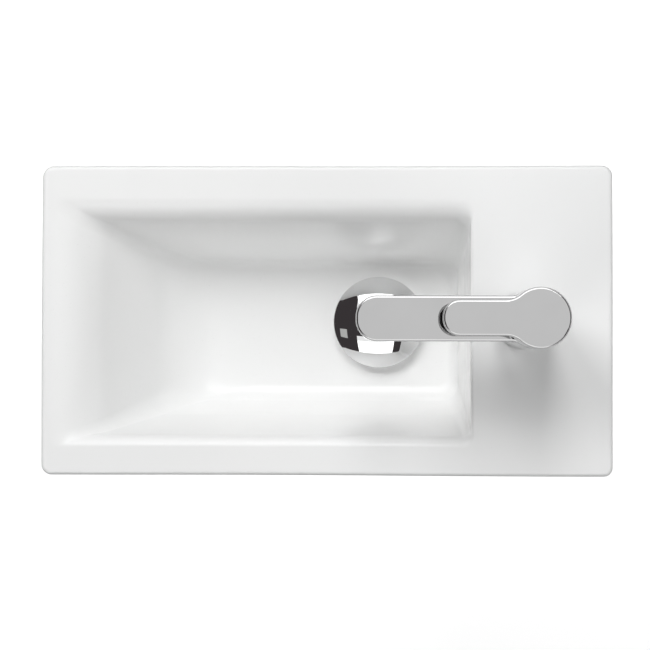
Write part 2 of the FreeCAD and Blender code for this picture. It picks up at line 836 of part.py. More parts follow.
def waste_top_seal():
    """Rubber ring between the waste's flange and the ceramic."""
    inner = drain_hole_radius + top_seal_gap
    return tube(waste_flange_radius, inner, seat_z, flange_low_z, drain_x, axis_y)


def waste_bottom_seal():
    """Thick rubber ring under the bowl."""
    high = ceramic_underside()
    return tube(bottom_seal_radius, waste_thread_radius + thread_gap, high - bottom_seal_thickness, high,
                drain_x, axis_y)


def waste_washer():
    """Slip washer between the rubber and the back nut."""
    high = ceramic_underside() - bottom_seal_thickness
    return tube(bottom_seal_radius, waste_thread_radius + thread_gap, high - washer_thickness, high,
                drain_x, axis_y)


def waste_backnut():
    """Hexagon nut that clamps the waste in the bowl."""
    high = backnut_top()
    low = high - backnut_height
    nut = hexagon(backnut_flats, low, high, drain_x, axis_y)
    bore = waste_thread_radius + thread_gap
    return nut.cut(cylinder(bore, low - overrun, high + overrun, drain_x, axis_y))


def click_barrel():
    """Cup screwed into the spider, which holds the spring and guides the stem."""
    body = cylinder(barrel_radius, barrel_low_z, guide_top_z, drain_x, axis_y)
    flange = cylinder(barrel_flange_radius, spider_top_z, guide_top_z, drain_x, axis_y)
    bore = cylinder(barrel_bore_radius, spring_low_z, guide_top_z + overrun, drain_x, axis_y)
    return body.fuse(flange).cut(bore).removeSplitter()


def click_guide():
    """Bush in the barrel's mouth that the stem slides in."""
    return tube(barrel_bore_radius - thread_gap, stem_radius + running_gap, guide_top_z - guide_height,
                guide_top_z, drain_x, axis_y)


def cap_stem():
    """Stem of the cap, with the collar that the spring lifts."""
    stem = cylinder(stem_radius, collar_low_z, cap_low_z - cap_boss_drop + cap_stem_depth, drain_x, axis_y)
    collar = cylinder(barrel_bore_radius - running_gap, collar_low_z, collar_top_z, drain_x, axis_y)
    tail = cylinder(stem_tail_radius, collar_low_z - stem_tail_length, collar_low_z, drain_x, axis_y)
    return stem.fuse([collar, tail]).removeSplitter()


def spring_mid_radius():
    """Radius of the spring's centre line, midway between the stem's tail and the barrel."""
    return (barrel_bore_radius + stem_tail_radius) / 2


def waste_spring():
    """Helical spring between the barrel's floor and the stem's collar."""
    height = collar_low_z - spring_low_z - 2 * (spring_wire_radius + running_gap)
    radius = spring_mid_radius()
    helix = Part.makeHelix(height / spring_turns, height, radius)
    section = Part.Wire(Part.makeCircle(spring_wire_radius, Vector(radius, 0, 0), Vector(0, 1, 0)))
    coil = Part.Wire(helix).makePipeShell([section], True, True)
    coil.translate(Vector(drain_x, axis_y, spring_low_z + spring_wire_radius + running_gap))
    return coil


def dome_curve_radius():
    """Radius of the sphere that the cap's top is part of."""
    return (cap_radius ** 2 + cap_rise ** 2) / (2 * cap_rise)


def waste_cap():
    """Domed cap of the waste, drawn raised, with a ring for its seal and a boss for its stem."""
    edge_top = cap_low_z + cap_edge_height
    centre_z = edge_top + cap_rise - dome_curve_radius()
    inner_radius = dome_curve_radius() - cap_wall
    inside = cap_radius - cap_wall
    crown_z = edge_top + cap_rise
    edges = [
        sphere_arc(dome_curve_radius(), centre_z, 0, cap_radius),
        line((cap_radius, edge_top), (cap_radius, cap_low_z)),
        line((cap_radius, cap_low_z), (inside, cap_low_z)),
        line((inside, cap_low_z), (inside, centre_z + sphere_height(inner_radius, inside))),
        sphere_arc(inner_radius, centre_z, inside, 0),
        line((0, crown_z - cap_wall), (0, crown_z)),
    ]
    cap = turned(edges, drain_x, axis_y)
    rim = [e for e in edges_at_height(cap, edge_top) if e.BoundBox.XLength > 2 * inside]
    cap = cap.makeFillet(cap_edge_radius, rim)
    ring_low = cap_low_z - cap_seal_drop + cap_seal_height
    ring_outer = cap_seal_inner_radius + cap_seal_width + cap_ring_margin
    ring_inner = cap_seal_inner_radius - cap_ring_margin
    ring = tube(ring_outer, ring_inner, ring_low, crown_z - cap_wall, drain_x, axis_y)
    boss = cylinder(cap_boss_radius, cap_low_z - cap_boss_drop, crown_z - cap_wall / 2, drain_x, axis_y)
    under = Part.makeSphere(inner_radius + cap_wall / 2, Vector(drain_x, axis_y, centre_z))
    cap = cap.fuse([ring.common(under), boss]).removeSplitter()
    low = cap_low_z - cap_boss_drop
    high = low + cap_stem_depth + laid_gap
    return cap.cut(cylinder(stem_radius + thread_gap, low - overrun, high, drain_x, axis_y))


def cap_seal():
    """Rubber ring under the cap that closes on the flange's seat."""
    low = cap_low_z - cap_seal_drop
    return tube(cap_seal_inner_radius + cap_seal_width, cap_seal_inner_radius, low, low + cap_seal_height,
                drain_x, axis_y)


PIECES = [
    basin_body,
    mixer_body,
    aerator_housing,
    aerator_insert,
    aerator_seal,
    base_gasket,
    cartridge_body,
    cartridge_base,
    port_seals,
    cartridge_ring_seal,
    fixed_disc,
    moving_disc,
    disc_slider,
    spindle_carrier,
    spindle_pin,
    spindle,
    cartridge_nut,
    cartridge_shroud,
    lever_handle,
    lever_grub_screw,
    lever_plug,
    fixing_stud,
    horseshoe_gasket,
    horseshoe_washer,
    fixing_nut,
    waste_body,
    waste_top_seal,
    waste_bottom_seal,
    waste_washer,
    waste_backnut,
    click_barrel,
    click_guide,
    waste_spring,
    cap_stem,
    waste_cap,
    cap_seal,
]


def main():
    """Write one file for each piece."""
    os.makedirs("parts", exist_ok=True)
    for piece in PIECES:
        shape = piece()
        shape.exportStep("parts/" + piece.__name__ + ".step")
        print(piece.__name__, "solids", len(shape.Solids), "valid", shape.isValid(),
              "volume", round(shape.Volume, 1))


main()
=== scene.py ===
"""Dresses a small wall-hung washbasin, with its mixer and its click waste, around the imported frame."""
import json
import logging
import math
from dataclasses import dataclass, field
from enum import Enum

import bmesh
import bpy
import numpy as np
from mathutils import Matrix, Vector


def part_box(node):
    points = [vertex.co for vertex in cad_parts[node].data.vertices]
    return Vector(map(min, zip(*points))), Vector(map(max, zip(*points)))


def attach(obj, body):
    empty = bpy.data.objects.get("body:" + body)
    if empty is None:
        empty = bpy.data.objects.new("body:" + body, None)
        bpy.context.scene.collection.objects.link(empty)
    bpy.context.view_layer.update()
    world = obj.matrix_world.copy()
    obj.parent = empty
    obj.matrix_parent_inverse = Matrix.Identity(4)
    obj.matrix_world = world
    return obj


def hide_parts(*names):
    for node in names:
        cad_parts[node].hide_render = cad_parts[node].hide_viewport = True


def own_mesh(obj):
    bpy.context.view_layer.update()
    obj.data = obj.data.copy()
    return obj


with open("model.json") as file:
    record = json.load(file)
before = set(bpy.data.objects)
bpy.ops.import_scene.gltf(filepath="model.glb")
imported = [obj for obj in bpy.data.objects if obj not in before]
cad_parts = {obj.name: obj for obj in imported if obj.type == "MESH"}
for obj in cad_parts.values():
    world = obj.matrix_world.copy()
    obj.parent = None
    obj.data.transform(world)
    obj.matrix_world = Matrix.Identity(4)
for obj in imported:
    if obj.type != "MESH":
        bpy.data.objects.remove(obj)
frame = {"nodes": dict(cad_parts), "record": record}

bpy.context.view_layer.update()
LOG = logging.getLogger("washbasin")

MM = 0.001

Colour = tuple[float, float, float]
Point = tuple[float, float, float]
Pair = tuple[float, float]

BLACK: Colour = (0.0, 0.0, 0.0)
FLAG_TONE: Colour = (0.047, 0.041, 0.043)

# Sockets of the Mix node when it mixes colours.
MIX_SHARE, MIX_FIRST, MIX_SECOND, MIX_RESULT = 0, 6, 7, 2

# Inward direction at each corner of an outline, from the front left corner on against the clock.
INWARD = ((1, 1), (-1, 1), (-1, -1), (1, -1))


class Side(Enum):
    """Sides of the casting, each with its outward direction in plan."""

    LEFT = (-1, 0)
    FRONT = (0, -1)
    RIGHT = (1, 0)
    REAR = (0, 1)


class Slot(Enum):
    """Material slots of the record."""

    CERAMIC = "glazed_ceramic"
    CHROME = "chromed_brass"
    BRASS = "brass"
    STEEL = "steel"
    RUBBER = "rubber"
    PLASTIC = "plastic"
    DISC = "ceramic_disc"


class Reach(Enum):
    """What a studio light does: it lights surfaces, or it only shows in mirrors."""

    SURFACES = "surfaces"
    MIRRORS = "mirrors"


@dataclass(frozen=True)
class Softbox:
    """One rectangular light: its place, its width and depth, and how bright its face is, where 1 is white."""

    name: str
    place: Point
    size: Pair
    strength: float
    reach: Reach = Reach.SURFACES


@dataclass(frozen=True)
class Board:
    """One level board over the basin that only mirrors see, with its edges and its brightness in a mirror."""

    name: str
    across: Pair
    along: Pair
    tone: Colour
    drop: float = 0.0


def shaded(tone: Colour, share: float) -> Colour:
    """A colour at a share of its brightness."""
    return tuple(share * level for level in tone)


def grey(level: float) -> Colour:
    """A grey of one level."""
    return (level, level, level)


def middle_of(node: str) -> Pair:
    """Middle of a node's box in plan."""
    low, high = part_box(node)
    return (low.x + high.x) / 2, (low.y + high.y) / 2


class Graph:
    """Small helper that builds one material's nodes."""

    def __init__(self, name: str) -> None:
        """Start an empty material with a surface shader.

        Args:
            name: the material's name.
        """
        self.material = bpy.data.materials.new(name)
        self.material.use_nodes = True
        self.tree = self.material.node_tree
        self.tree.nodes.clear()
        self.output = self.tree.nodes.new("ShaderNodeOutputMaterial")
        self.shader = self.tree.nodes.new("ShaderNodeBsdfPrincipled")
        self.link(self.shader.outputs[0], self.output.inputs["Surface"])
        self.place = self.tree.nodes.new("ShaderNodeTexCoord").outputs["Object"]

    def link(self, source: bpy.types.NodeSocket, target: bpy.types.NodeSocket) -> None:
        """Join an output to an input."""
        self.tree.links.new(source, target)

    def node(self, kind: str, **values: object) -> bpy.types.Node:
        """Add a node and fill in its inputs.

        Args:
            kind: the node's type without its ShaderNode prefix.
            **values: input names, spaces as underscores, with a number, colour or output to join.

        Returns:
            The new node.
        """
        made = self.tree.nodes.new("ShaderNode" + kind)
        for key, value in values.items():
            self.fill(made, key.replace("_", " "), value)
        return made

    def fill(self, made: bpy.types.Node, name: str, value: object) -> None:
        """Set one input of a node, or join an output to it."""
        if isinstance(value, bpy.types.NodeSocket):
            self.link(value, made.inputs[name])
        else:
            made.inputs[name].default_value = value

    def noise(self, scale: float, detail: float = 3.0, stretch: Point = (1, 1, 1)) -> bpy.types.NodeSocket:
        """Cloudy noise over the object's own place.

        Args:
            scale: how many cells go in a metre.
            detail: how many finer layers are added.
            stretch: scale along each axis.

        Returns:
            The noise's value output.
        """
        where = self.node("Mapping", Vector=self.place, Scale=stretch)
        made = self.node("TexNoise", Vector=where.outputs[0], Scale=scale, Detail=detail)
        return made.outputs[0]

    def spread(self, value: bpy.types.NodeSocket, low: float, high: float,
               from_low: float = 0.3, from_high: float = 0.7) -> bpy.types.NodeSocket:
        """Map a value's usual range to another one.

        Args:
            value: the output to map.
            low: result at from_low.
            high: result at from_high.
            from_low: start of the range that is read.
            from_high: end of the range that is read.

        Returns:
            The mapped output, held within its range.
        """
        made = self.node("MapRange", Value=value)
        limits = {"From Min": from_low, "From Max": from_high, "To Min": low, "To Max": high}
        for name, number in limits.items():
            made.inputs[name].default_value = number
        return made.outputs[0]

    def blend(self, share: bpy.types.NodeSocket, first: object, second: object) -> bpy.types.NodeSocket:
        """Mix two colours.

        Args:
            share: how much of the second colour shows.
            first: a colour or an output.
            second: a colour or an output.

        Returns:
            The mixed colour's output.
        """
        made = self.tree.nodes.new("ShaderNodeMix")
        made.data_type = "RGBA"
        self.link(share, made.inputs[MIX_SHARE])
        for index, value in ((MIX_FIRST, first), (MIX_SECOND, second)):
            if isinstance(value, bpy.types.NodeSocket):
                self.link(value, made.inputs[index])
            else:
                made.inputs[index].default_value = (*value, 1.0)
        return made.outputs[MIX_RESULT]

    def larger(self, first: bpy.types.NodeSocket, second: bpy.types.NodeSocket) -> bpy.types.NodeSocket:
        """The larger of two values."""
        made = self.tree.nodes.new("ShaderNodeMath")
        made.operation = "MAXIMUM"
        self.link(first, made.inputs[0])
        self.link(second, made.inputs[1])
        return made.outputs[0]

    def by_ray(self, seen: object, mirrored: object, lit: object) -> bpy.types.NodeSocket:
        """Choose a colour by what the ray is for.

        Args:
            seen: the colour that the camera sees.
            mirrored: the colour in a mirror.
            lit: the colour that lights matt surfaces.

        Returns:
            The chosen colour's output.
        """
        rays = self.node("LightPath").outputs
        others = self.blend(rays["Is Glossy Ray"], lit, mirrored)
        return self.blend(rays["Is Camera Ray"], others, seen)

    def raise_surface(self, height: bpy.types.NodeSocket, depth: float, strength: float) -> None:
        """Add a bump over those that the shader has.

        Args:
            height: the output that gives the height, from 0 to 1.
            depth: the bump's height in metres.
            strength: how strongly it shows.
        """
        bump = self.node("Bump", Height=height, Distance=depth, Strength=strength)
        target = self.shader.inputs["Normal"]
        if target.is_linked:
            self.link(target.links[0].from_socket, bump.inputs["Normal"])
        self.link(bump.outputs[0], target)

    def set(self, **values: object) -> None:
        """Fill in the surface shader's own sockets."""
        for key, value in values.items():
            self.fill(self.shader, key.replace("_", " "), value)


@dataclass(frozen=True)
class GlazedCeramic:
    """White glaze over a cream body, bare under the foot."""

    white: Colour = (0.900, 0.902, 0.898)
    cool: Colour = (0.890, 0.895, 0.893)
    body: Colour = (0.66, 0.63, 0.57)
    cloud_scale: float = 9.0
    speck_scale: float = 1400.0
    speck_range: Pair = (0.80, 0.84)
    speck_share: float = 0.35
    speck_shade: float = 0.72
    bare_heights: Pair = (0.25 * MM, 0.9 * MM)
    grain_scale: float = 900.0
    grain_shade: float = 0.86
    roughness: Pair = (0.17, 0.23)
    bare_roughness: float = 0.8
    haze_scale: float = 60.0
    ripple_scale: float = 22.0
    ripple_depth: float = 0.12 * MM
    peel_scale: float = 420.0
    peel_depth: float = 0.012 * MM
    bump_strength: float = 0.5
    refraction: float = 1.50
    specular_level: float = 0.34
    coat: float = 0.05
    coat_roughness: float = 0.04

    def material(self) -> bpy.types.Material:
        """Build the finish."""
        graph = Graph("white_glaze")
        bare = self.bare_share(graph)
        clouds = graph.spread(graph.noise(self.cloud_scale, detail=2.0), 0.0, 1.0)
        tint = graph.blend(clouds, self.white, self.cool)
        specks = graph.spread(graph.noise(self.speck_scale, detail=0.0),
                              0.0, self.speck_share, *self.speck_range)
        glazed = graph.blend(specks, tint, shaded(self.white, self.speck_shade))
        grain = graph.noise(self.grain_scale, detail=4.0)
        biscuit = graph.blend(grain, self.body, shaded(self.body, self.grain_shade))
        smooth = graph.spread(graph.noise(self.haze_scale), *self.roughness)
        rough = graph.spread(bare, 0.0, self.bare_roughness, 0.0, 1.0)
        graph.set(Base_Color=graph.blend(bare, glazed, biscuit), Roughness=graph.larger(smooth, rough),
                  IOR=self.refraction, Specular_IOR_Level=self.specular_level,
                  Coat_Weight=self.coat, Coat_Roughness=self.coat_roughness)
        graph.raise_surface(graph.noise(self.ripple_scale, detail=1.0), self.ripple_depth, self.bump_strength)
        graph.raise_surface(graph.noise(self.peel_scale, detail=1.0), self.peel_depth, self.bump_strength)
        return graph.material

    def bare_share(self, graph: Graph) -> bpy.types.NodeSocket:
        """How bare the body is at a height: wholly at the foot's face, and not at all a little above it.

        Args:
            graph: the material's nodes.

        Returns:
            The share's output.
        """
        height = graph.node("SeparateXYZ", Vector=graph.place).outputs[2]
        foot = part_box("basin_body")[0].z
        low, high = self.bare_heights
        return graph.spread(height, 1.0, 0.0, foot + low, foot + high)


@dataclass(frozen=True)
class ChromePlate:
    """Bright chrome plate with the faintest haze."""

    name: str = "chrome_plate"
    tone: Colour = (0.520, 0.520, 0.521)
    cloud_scale: float = 35.0
    cloud_shade: float = 0.97
    roughness: Pair = (0.012, 0.040)
    haze_scale: float = 140.0
    haze_range: Pair = (0.35, 0.75)
    wave_scale: float = 45.0
    wave_depth: float = 0.02 * MM
    wave_strength: float = 0.35
    # Painted glow: grey light that the part sends to matt surfaces only, standing in for the light it mirrors
    # onto them.
    painted_bounce_glow: float = 0.0

    def material(self) -> bpy.types.Material:
        """Build the finish; a glow, when set, lights matt surfaces though the part is no lamp: painted light
        in place of the light that it mirrors there.
        """
        graph = Graph(self.name)
        clouds = graph.spread(graph.noise(self.cloud_scale), 0.0, 1.0)
        haze = graph.spread(graph.noise(self.haze_scale, detail=4.0), *self.roughness, *self.haze_range)
        graph.set(Base_Color=graph.blend(clouds, self.tone, shaded(self.tone, self.cloud_shade)),
                  Metallic=1.0, Roughness=haze)
        graph.raise_surface(graph.noise(self.wave_scale, detail=1.0), self.wave_depth, self.wave_strength)
        if self.painted_bounce_glow:
            graph.set(Emission_Color=graph.by_ray(BLACK, BLACK, grey(self.painted_bounce_glow)), Emission_Strength=1.0)
        return graph.material


@dataclass(frozen=True)
class TurnedMetal:
    """Bare metal that was turned or drawn, with fine tool marks."""

    name: str
    tone: Colour
    shade: Colour
    roughness: Pair
    tarnish_scale: float = 90.0
    haze_scale: float = 300.0
    mark_scale: float = 2600.0
    mark_stretch: Point = (0.05, 0.05, 1.0)
    mark_depth: float = 0.0012 * MM
    mark_strength: float = 0.6

    def material(self) -> bpy.types.Material:
        """Build the finish."""
        graph = Graph(self.name)
        tarnish = graph.spread(graph.noise(self.tarnish_scale, detail=5.0), 0.0, 1.0)
        haze = graph.spread(graph.noise(self.haze_scale, detail=4.0), *self.roughness)
        graph.set(Base_Color=graph.blend(tarnish, self.tone, self.shade), Metallic=1.0, Roughness=haze)
        lines = graph.noise(self.mark_scale, detail=2.0, stretch=self.mark_stretch)
        graph.raise_surface(lines, self.mark_depth, self.mark_strength)
        return graph.material


@dataclass(frozen=True)
class SoftFinish:
    """Rubber, moulded plastic or lapped disc: a plain colour with grain and dust."""

    name: str
    tone: Colour
    dust: Colour
    roughness: Pair
    grain_scale: float
    grain_depth: float
    grain_strength: float = 0.7
    dust_scale: float = 60.0
    dust_share: float = 0.6

    def material(self) -> bpy.types.Material:
        """Build the finish."""
        graph = Graph(self.name)
        dust = graph.spread(graph.noise(self.dust_scale, detail=4.0), 0.0, self.dust_share)
        haze = graph.spread(graph.noise(self.grain_scale / 2, detail=2.0), *self.roughness)
        graph.set(Base_Color=graph.blend(dust, self.tone, self.dust), Roughness=haze)
        graph.raise_surface(graph.noise(self.grain_scale), self.grain_depth, self.grain_strength)
        return graph.material


@dataclass(frozen=True)
class IndexPlug:
    """Small plastic plug, one half warm red and the other half blue."""

    warm: Colour = (0.55, 0.03, 0.03)
    cold: Colour = (0.02, 0.09, 0.50)
    parting: float = 0.05 * MM
    roughness: Pair = (0.22, 0.34)
    haze_scale: float = 500.0
    grain_scale: float = 900.0
    grain_depth: float = 0.01 * MM
    grain_strength: float = 0.4

    def material(self) -> bpy.types.Material:
        """Build the finish, parted at the plug's own middle."""
        graph = Graph("index_plug")
        middle = middle_of("lever_plug")[1]
        across = graph.node("SeparateXYZ", Vector=graph.place).outputs[1]
        half = graph.spread(across, 0.0, 1.0, middle - self.parting, middle + self.parting)
        haze = graph.spread(graph.noise(self.haze_scale), *self.roughness)
        graph.set(Base_Color=graph.blend(half, self.cold, self.warm), Roughness=haze)
        graph.raise_surface(graph.noise(self.grain_scale, detail=2.0), self.grain_depth, self.grain_strength)
        return graph.material


CHROME = ChromePlate()
# The cap has a painted glow that lights the matt glaze round it, though it is no lamp.
POLISHED = ChromePlate("polished_cap", (0.800, 0.801, 0.803), painted_bounce_glow=0.55)
BRASS = TurnedMetal("machined_brass", (0.72, 0.54, 0.26), (0.62, 0.45, 0.20), (0.16, 0.28))
STEEL = TurnedMetal("plain_steel", (0.58, 0.59, 0.60), (0.50, 0.51, 0.52), (0.18, 0.32))
RUBBER = SoftFinish("black_rubber", (0.018, 0.018, 0.019), (0.045, 0.044, 0.043), (0.50, 0.72),
                    700.0, 0.05 * MM)
PLASTIC = SoftFinish("moulded_plastic", (0.62, 0.62, 0.60), (0.52, 0.52, 0.50), (0.34, 0.46),
                     1500.0, 0.02 * MM)
ALUMINA = SoftFinish("lapped_disc", (0.78, 0.77, 0.73), (0.70, 0.69, 0.65), (0.10, 0.20),
                     2500.0, 0.004 * MM)


class Paintbox:
    """Every finish, made once and shared."""

    def __init__(self) -> None:
        """Make the materials."""
        self.glaze = GlazedCeramic().material()
        self.chrome = CHROME.material()
        self.cap = POLISHED.material()
        self.brass = BRASS.material()
        self.steel = STEEL.material()
        self.rubber = RUBBER.material()
        self.plastic = PLASTIC.material()
        self.disc = ALUMINA.material()
        self.plug = IndexPlug().material()

    def by_slot(self) -> dict[str, bpy.types.Material]:
        """Materials by the record's slot name."""
        return {
            Slot.CERAMIC.value: self.glaze,
            Slot.CHROME.value: self.chrome,
            Slot.BRASS.value: self.brass,
            Slot.STEEL.value: self.steel,
            Slot.RUBBER.value: self.rubber,
            Slot.PLASTIC.value: self.plastic,
            Slot.DISC.value: self.disc,
        }


def dress(thing: bpy.types.Object, material: bpy.types.Material) -> None:
    """Give an object one material.

    Args:
        thing: the object.
        material: its finish.
    """
    if not thing.data.materials:
        thing.data.materials.append(material)
    for slot in thing.material_slots:
        slot.material = material


def mesh_object(name: str, points: np.ndarray, faces: list[tuple[int, ...]],
                sharp_deg: float = 30) -> bpy.types.Object:
    """Make a closed mesh object with smooth faces and its own sharp edges.

    Args:
        name: the object's name.
        points: corner places in metres.
        faces: corner numbers of each face.
        sharp_deg: edges that turn by more than this stay sharp.

    Returns:
        The new object.
    """
    mesh = bpy.data.meshes.new(name)
    mesh.from_pydata([tuple(p) for p in points], [], faces)
    work = bmesh.new()
    work.from_mesh(mesh)
    bmesh.ops.recalc_face_normals(work, faces=work.faces)
    work.to_mesh(mesh)
    work.free()
    mesh.shade_smooth()
    mesh.set_sharp_from_angle(angle=math.radians(sharp_deg))
    made = bpy.data.objects.new(name, mesh)
    bpy.context.scene.collection.objects.link(made)
    return made


def level_plane(name: str, across: Pair, along: Pair, height: float) -> bpy.types.Object:
    """A level rectangle.

    Args:
        name: the object's name.
        across: its lowest and highest x.
        along: its lowest and highest y.
        height: its height.

    Returns:
        The rectangle.
    """
    (left, right), (front, rear) = across, along
    corners = [(left, front, height), (right, front, height), (right, rear, height), (left, rear, height)]
    return mesh_object(name, np.array(corners), [(0, 1, 2, 3)])


def rounded_path(corners: list[Pair], radii: list[float], steps: int) -> np.ndarray:
    """A chain of straight lines with each inner corner rounded by an arc.

    Args:
        corners: the chain's points.
        radii: one radius for each point; the first and the last are not used.
        steps: how many spans each arc has.

    Returns:
        The points of the rounded chain.
    """
    chain = [np.array(c, float) for c in corners]
    path = [chain[0]]
    for before, corner, after, radius in zip(chain, chain[1:], chain[2:], radii[1:]):
        into = (corner - before) / np.linalg.norm(corner - before)
        out = (after - corner) / np.linalg.norm(after - corner)
        turn = math.acos(float(np.clip(into @ out, -1, 1)))
        reach = radius * math.tan(turn / 2)
        start, end, weight = corner - into * reach, corner + out * reach, math.cos(turn / 2)
        for i in range(steps + 1):
            t = i / steps
            share = np.array([(1 - t) ** 2, 2 * weight * t * (1 - t), t ** 2])
            path.append((share[0] * start + share[1] * corner + share[2] * end) / share.sum())
    path.append(chain[-1])
    return np.array(path)


def cut_away(thing: bpy.types.Object, tool: bpy.types.Object) -> None:
    """Cut a tool's form out of an object, and delete the tool.

    Args:
        thing: the object that keeps the cut.
        tool: a closed mesh.
    """
    cut = thing.modifiers.new("cut", "BOOLEAN")
    cut.operation = "DIFFERENCE"
    cut.solver = "EXACT"
    cut.object = tool
    done = bpy.data.meshes.new_from_object(thing.evaluated_get(bpy.context.evaluated_depsgraph_get()))
    thing.modifiers.clear()
    thing.data = done
    bpy.data.objects.remove(tool)


def round_bar(radius: float, start: Point, end: Point, spans: int = 96) -> bpy.types.Object:
    """A plain round bar between two points, as a cutting tool.

    Args:
        radius: the bar's radius.
        start: centre of one end.
        end: centre of the other end.
        spans: how many sides it has.

    Returns:
        The bar.
    """
    a, b = Vector(start), Vector(end)
    work = bmesh.new()
    bmesh.ops.create_cone(work, cap_ends=True, segments=spans, radius1=radius, radius2=radius,
                          depth=(b - a).length)
    mesh = bpy.data.meshes.new("tool")
    work.to_mesh(mesh)
    work.free()
    made = bpy.data.objects.new("tool", mesh)
    made.matrix_world = (b - a).to_track_quat("Z", "Y").to_matrix().to_4x4()
    made.matrix_world.translation = (a + b) / 2
    bpy.context.scene.collection.objects.link(made)
    bpy.context.view_layer.update()
    return made


@dataclass(frozen=True)
class Wall:
    """One wall of the bowl, measured outward from the frame's origin, with its roundings."""

    edge: float
    outer: float
    run: float
    foot_radius: float
    rim_radius: float
    crease_depth: float
    crease_run: float
    crease_radius: float
    shell_top: float
    shell_run: float


@dataclass
class BasinCasting:
    """The glazed casting: bowl, rim, deck, skirt, foot and the hollow underneath."""

    rim: float = 45 * MM
    foot: float = -75 * MM
    floor: float = -45 * MM
    underside: float = -55 * MM
    deck_low: float = 33 * MM
    skirt: float = 10 * MM
    outer_corners: tuple[float, ...] = (7.5 * MM, 6.5 * MM, 7.5 * MM, 8.5 * MM)
    top_corners: tuple[float, ...] = (6 * MM, 6 * MM, 9 * MM, 8 * MM)
    floor_corners: tuple[float, ...] = (22 * MM, 14 * MM, 14 * MM, 12 * MM)
    least_corner: float = 1.2 * MM
    corner_ease: float = 0.7
    outer_edge: float = 3.0 * MM
    foot_edge: float = 2.0 * MM
    drain_radius: float = 23 * MM
    seat_radius: float = 33 * MM
    seat_depth: float = 3.4 * MM
    seat_lip: float = 0.6 * MM
    lip_start: float = 0.3
    tap_hole: float = 17.5 * MM
    fixing_hole: float = 6 * MM
    fixing_place: float = 140 * MM
    fixing_spans: int = 48
    floor_fall: float = 0.018
    floor_slack: float = 0.01 * MM
    shell_pinch: float = 0.75
    pinch_power: int = 6
    sway_power: int = 6
    sharp_deg: float = 32
    lip_points: int = 4
    floor_spans: int = 26
    levels: int = 150
    wall_arc: int = 40
    deck_spans: int = 14
    edge_points: int = 11
    skirt_points: int = 26
    foot_points: int = 7
    inside_points: int = 14
    shell_arc: int = 30
    shell_levels: int = 40
    under_spans: int = 10
    corner_steps: int = 18
    side_steps: dict[Side, int] = field(default_factory=lambda: {
        Side.LEFT: 44, Side.FRONT: 96, Side.RIGHT: 44, Side.REAR: 96})
    sway: dict[Side, Point] = field(default_factory=lambda: {
        Side.LEFT: (0.15, 21, 1.0), Side.RIGHT: (0.12, 26, 0.4),
        Side.FRONT: (0.2, 17, 2.2), Side.REAR: (0.15, 19, 0.9)})
    walls: dict[Side, Wall] = field(default_factory=lambda: {
        Side.LEFT: Wall(173 * MM, 202.5 * MM, 67 * MM, 62 * MM, 50 * MM, 45 * MM, 33.5 * MM, 60 * MM,
                        187.8 * MM, 77.2 * MM),
        Side.FRONT: Wall(193.4 * MM, 220 * MM, 27.4 * MM, 14 * MM, 9 * MM, 55 * MM, 15.0 * MM, 6 * MM,
                         201.7 * MM, 28.0 * MM),
        Side.RIGHT: Wall(102.4 * MM, 202.5 * MM, 4.0 * MM, 8 * MM, 2.2 * MM, 50 * MM, 1.4 * MM, 6 * MM,
                         111.8 * MM, 5.0 * MM),
        Side.REAR: Wall(-35.8 * MM, 0.0, 29.4 * MM, 8 * MM, 18 * MM, 45 * MM, 14.7 * MM, 60 * MM,
                        -26.7 * MM, 31.0 * MM)})

    def build(self, paint: Paintbox) -> bpy.types.Object:
        """Make the casting, cut its holes and put it in the frame.

        Args:
            paint: the finishes.

        Returns:
            The casting.
        """
        rings = np.array(self.rings())
        self.warp(rings)
        count, around = rings.shape[:2]
        faces = []
        for k in range(count):
            for j in range(around):
                a, b = k * around + j, k * around + (j + 1) % around
                c, d = (k + 1) % count * around + (j + 1) % around, (k + 1) % count * around + j
                faces.append((a, b, c, d))
        casting = mesh_object("washbasin_casting", rings.reshape(-1, 3), faces, self.sharp_deg)
        self.cut_holes(casting)
        dress(casting, paint.glaze)
        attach(casting, "basin")
        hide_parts("basin_body")
        LOG.info("%s: %d faces", casting.name, len(casting.data.polygons))
        return casting

    def ring(self, reach: dict[Side, float], radii: tuple[float, ...], height: float) -> np.ndarray:
        """One level outline: a rectangle with rounded corners, always with the same number of points.

        Args:
            reach: how far out each side lies.
            radii: corner radii, from the front left corner on against the clock.
            height: the outline's height.

        Returns:
            The outline's points.
        """
        x_low, x_high = -reach[Side.LEFT], reach[Side.RIGHT]
        y_low, y_high = -reach[Side.FRONT], reach[Side.REAR]
        corners = [(x_low, y_low), (x_high, y_low), (x_high, y_high), (x_low, y_high)]
        points = []
        for i, side in enumerate((Side.FRONT, Side.RIGHT, Side.REAR, Side.LEFT)):
            (x, y), (across, along), radius = corners[i], INWARD[i], radii[i]
            centre = (x + across * radius, y + along * radius)
            start = math.pi + i * math.pi / 2
            for step in range(self.corner_steps + 1):
                angle = start + math.pi / 2 * step / self.corner_steps
                points.append((centre[0] + radius * math.cos(angle), centre[1] + radius * math.sin(angle)))
            here = np.array(points[-1])
            after = (i + 1) % len(corners)
            (x, y), (across, along), radius = corners[after], INWARD[after], radii[after]
            there = np.array((x + across * radius, y) if i % 2 == 0 else (x, y + along * radius))
            steps = self.side_steps[side]
            points += [tuple(here + (there - here) * step / steps) for step in range(1, steps)]
        return np.array([(x, y, height) for x, y in points])

    def rings(self) -> list[np.ndarray]:
        """Every outline in turn: drain hole, floor, bowl, deck, skirt, foot, and back under the bowl."""
        bowl = self.bowl_rings()
        shell = self.shell_rings()
        drain = [self.circle(bowl[0], radius, height) for radius, height in self.drain_section()]
        floor = self.between(drain[-1], bowl[0], self.floor_spans)
        hole = self.circle(shell[-1], self.drain_radius, self.underside)
        under = self.between(shell[-1], hole, self.under_spans)
        return drain + floor + bowl + self.outer_rings(bowl[-1]) + shell + under

